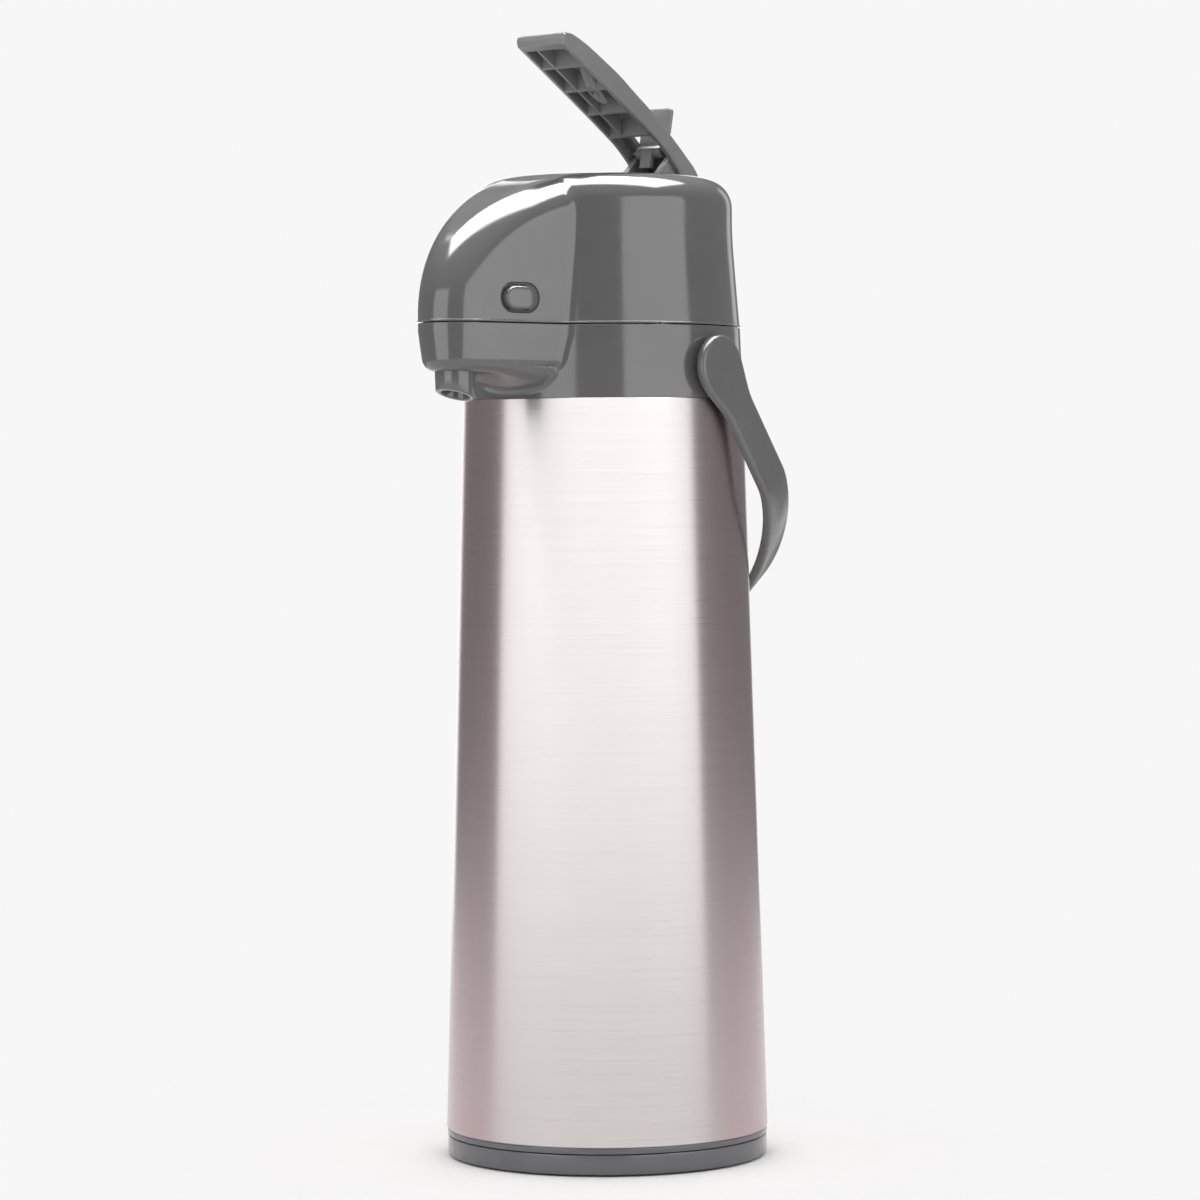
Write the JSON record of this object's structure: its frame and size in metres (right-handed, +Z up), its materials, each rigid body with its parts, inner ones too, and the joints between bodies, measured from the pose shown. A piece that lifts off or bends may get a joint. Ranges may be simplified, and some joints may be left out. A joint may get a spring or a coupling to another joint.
{
  "type": "thermal coffee airpot",
  "caption": "Tall insulated coffee dispenser with a steel body, dark moulded pump head, raised press lever, front spout, swing handle and swivelling foot.",
  "frame": {"origin": "centre of the foot on the counter, on the rubber cover under the swivel screw", "axes": "+Z up; the spout points to -Y; +X is the spout's right-hand side seen from behind the pot"},
  "size_m": [0.141, 0.1994, 0.4892],
  "materials": {
    "brushed_shell": "fine horizontal brushing, bright",
    "head_plastic": "glossy dark grey moulding",
    "handle_plastic": "satin-gloss dark grey moulding",
    "base_plastic": "glossy blue-grey moulding",
    "inner_plastic": "plain inner moulding",
    "natural_plastic": "natural food-grade moulding",
    "plated_steel": "plated",
    "rubber": "matt",
    "bellows_rubber": "matt, soft",
    "flask_glass": "silvered vacuum glass"
  },
  "bodies": {
    "base": {"swivel_base": "base_plastic", "foot_pads": "rubber", "screw_cover": "rubber"},
    "vessel": {"base_cup": "base_plastic", "swivel_washer": "natural_plastic", "swivel_screw": "plated_steel", "body_shell": "brushed_shell", "flask_cushion": "rubber", "flask_outer": "flask_glass", "flask_inner": "flask_glass", "neck_gasket": "rubber", "collar": "head_plastic", "mouth_ring": "inner_plastic", "mouth_ring_screws": "plated_steel", "mouth_plate": "inner_plastic", "dip_tube": "natural_plastic", "pour_pipe": "natural_plastic", "spout_nozzle": "head_plastic", "nozzle_oring": "rubber", "lid_hinge_pin": "plated_steel"},
    "ball": {"valve_ball": "plated_steel"},
    "handle": {"carry_handle": "handle_plastic", "pivot_clips": "plated_steel"},
    "lid": {"lid_cover": "head_plastic", "lid_plate": "inner_plastic", "lid_plate_screws": "plated_steel", "air_gasket": "rubber", "bellows": "bellows_rubber", "return_spring": "plated_steel", "lever_pin": "plated_steel"},
    "plunger": {"plunger": "inner_plastic", "intake_valve": "rubber"},
    "lever": {"lever": "head_plastic", "lock_pin": "plated_steel"},
    "lock": {"lock_tab": "head_plastic"},
    "button_left": {"release_button_left": "head_plastic"},
    "button_right": {"release_button_right": "head_plastic"}
  },
  "joints": [
    {"name": "base_swivel", "type": "hinge", "parent": "base", "child": "vessel", "pos_m": [0, 0, 0.0093], "axis": [0, 0, 1], "continuous": true},
    {"name": "handle_swing", "type": "hinge", "parent": "vessel", "child": "handle", "pos_m": [0, 0, 0.3445], "axis": [1, 0, 0], "range_deg": [0, 135]},
    {"name": "lid_hinge", "type": "hinge", "parent": "vessel", "child": "lid", "pos_m": [0, 0.0655, 0.3625], "axis": [-1, 0, 0], "range_deg": [0, 95]},
    {"name": "lever_pivot", "type": "hinge", "parent": "lid", "child": "lever", "pos_m": [0, 0.049, 0.419], "axis": [1, 0, 0], "range_deg": [0, 31]},
    {"name": "plunger_slide", "type": "slide", "parent": "lid", "child": "plunger", "axis": [0, 0, -1], "range_m": [0, 0.0166], "deforming": ["bellows", "return_spring"]},
    {"name": "lock_flip", "type": "hinge", "parent": "lever", "child": "lock", "pos_m": [0, 0.0347, 0.4423], "axis": [1, 0, 0], "range_deg": [0, 25]},
    {"name": "button_left_push", "type": "slide", "parent": "lid", "child": "button_left", "axis": [0.9773, 0.2117, 0], "range_m": [0, 0.002]},
    {"name": "button_right_push", "type": "slide", "parent": "lid", "child": "button_right", "axis": [-0.9773, 0.2117, 0], "range_m": [0, 0.002]},
    {"name": "valve_lift", "type": "slide", "parent": "vessel", "child": "ball", "axis": [0, 0, 1], "range_m": [0, 0.0018]}
  ],
  "couplings": [
    {"joint": "plunger_slide", "follows": "lever_pivot", "m_per_rad": 0.0305}
  ]
}
